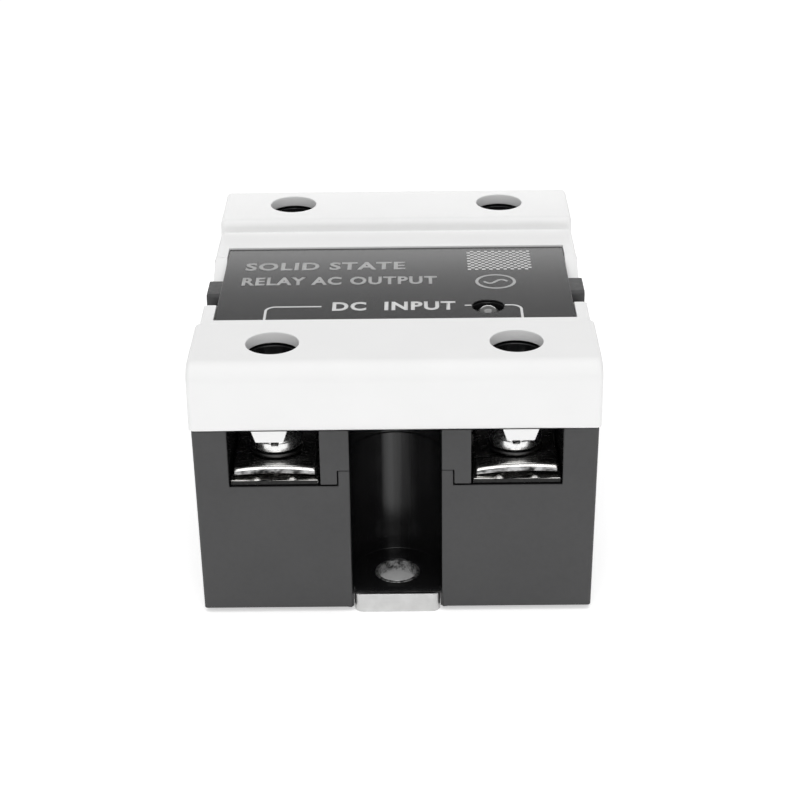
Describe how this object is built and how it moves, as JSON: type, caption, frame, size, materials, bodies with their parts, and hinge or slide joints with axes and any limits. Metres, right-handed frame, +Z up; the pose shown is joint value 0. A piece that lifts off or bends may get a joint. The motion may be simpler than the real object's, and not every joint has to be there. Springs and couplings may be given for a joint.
{
  "type": "solid state relay",
  "caption": "Panel-mount solid state relay: black body on a metal base plate, clip-on white terminal covers, screw clamp terminals and an indicator lamp.",
  "frame": {"origin": "centre of the base plate's underside, on the heat sink's face", "axes": "+Z up out of the base, -Y towards the input terminals, +Y towards the output terminals, +X to the right as seen from the input side"},
  "size_m": [0.0464, 0.0576, 0.0319],
  "materials": {
    "black_plastic": "satin black moulded thermoplastic, fine spark-eroded grain",
    "white_plastic": "satin white moulded thermoplastic",
    "label_film": "semi-gloss black film with light grey print",
    "plate_metal": "bright cut metal plate",
    "nickel": "polished nickel plating",
    "steel": "polished zinc plating",
    "led_epoxy": "clear red epoxy",
    "board_green": "solder-masked circuit board",
    "component_black": "moulded epoxy",
    "component_tan": "lacquer",
    "component_blue": "lacquer",
    "component_yellow": "moulded case",
    "ceramic": "fired alumina",
    "silicon": "polished silicon",
    "gel": "silicone gel"
  },
  "bodies": {
    "housing": {"base_plate": "plate_metal", "lower_housing": "black_plastic", "upper_housing": "black_plastic", "label": "label_film", "indicator_led": "led_epoxy", "circuit_board": "board_green", "optocoupler": "component_black", "snubber_capacitor": "component_yellow", "input_transistor": "component_black", "gate_triac": "component_black", "input_resistor": "component_tan", "protection_diode": "component_black", "snubber_resistor": "component_blue", "gate_resistor": "component_tan", "ceramic_substrate": "ceramic", "thyristor_chip_left": "silicon", "thyristor_chip_right": "silicon", "silicone_gel": "gel", "input_positive_bar": "nickel", "input_negative_bar": "nickel", "output_line_bar": "nickel", "output_load_bar": "nickel"},
    "front_cover": {"front_cover": "white_plastic"},
    "rear_cover": {"rear_cover": "white_plastic"},
    "input_positive_clamp": {"input_positive_clamp": "nickel", "input_positive_washer": "steel"},
    "input_positive_screw": {"input_positive_screw": "steel"},
    "input_negative_clamp": {"input_negative_clamp": "nickel", "input_negative_washer": "steel"},
    "input_negative_screw": {"input_negative_screw": "steel"},
    "output_line_clamp": {"output_line_clamp": "nickel", "output_line_washer": "steel"},
    "output_line_screw": {"output_line_screw": "steel"},
    "output_load_clamp": {"output_load_clamp": "nickel", "output_load_washer": "steel"},
    "output_load_screw": {"output_load_screw": "steel"}
  },
  "joints": [
    {"name": "front_cover_lift", "type": "slide", "parent": "housing", "child": "front_cover", "axis": [0, 0, 1], "range_m": [0, 0.03]},
    {"name": "rear_cover_lift", "type": "slide", "parent": "housing", "child": "rear_cover", "axis": [0, 0, 1], "range_m": [0, 0.03]},
    {"name": "input_positive_clamp_rise", "type": "slide", "parent": "housing", "child": "input_positive_clamp", "axis": [0, 0, 1], "range_m": [0, 0.0042]},
    {"name": "input_positive_screw_turn", "type": "hinge", "parent": "input_positive_clamp", "child": "input_positive_screw", "pos_m": [-0.0137, -0.0224, 0.01945], "axis": [0, 0, 1], "range_deg": [0, 2160]},
    {"name": "input_negative_clamp_rise", "type": "slide", "parent": "housing", "child": "input_negative_clamp", "axis": [0, 0, 1], "range_m": [0, 0.0042]},
    {"name": "input_negative_screw_turn", "type": "hinge", "parent": "input_negative_clamp", "child": "input_negative_screw", "pos_m": [0.0137, -0.0224, 0.01945], "axis": [0, 0, 1], "range_deg": [0, 2160]},
    {"name": "output_line_clamp_rise", "type": "slide", "parent": "housing", "child": "output_line_clamp", "axis": [0, 0, 1], "range_m": [0, 0.0042]},
    {"name": "output_line_screw_turn", "type": "hinge", "parent": "output_line_clamp", "child": "output_line_screw", "pos_m": [-0.0137, 0.0224, 0.01945], "axis": [0, 0, 1], "range_deg": [0, 2160]},
    {"name": "output_load_clamp_rise", "type": "slide", "parent": "housing", "child": "output_load_clamp", "axis": [0, 0, 1], "range_m": [0, 0.0042]},
    {"name": "output_load_screw_turn", "type": "hinge", "parent": "output_load_clamp", "child": "output_load_screw", "pos_m": [0.0137, 0.0224, 0.01945], "axis": [0, 0, 1], "range_deg": [0, 2160]}
  ],
  "couplings": [
    {"joint": "input_positive_screw_turn", "follows": "input_positive_clamp_rise", "rad_per_m": 8976},
    {"joint": "input_negative_screw_turn", "follows": "input_negative_clamp_rise", "rad_per_m": 8976},
    {"joint": "output_line_screw_turn", "follows": "output_line_clamp_rise", "rad_per_m": 8976},
    {"joint": "output_load_screw_turn", "follows": "output_load_clamp_rise", "rad_per_m": 8976}
  ]
}
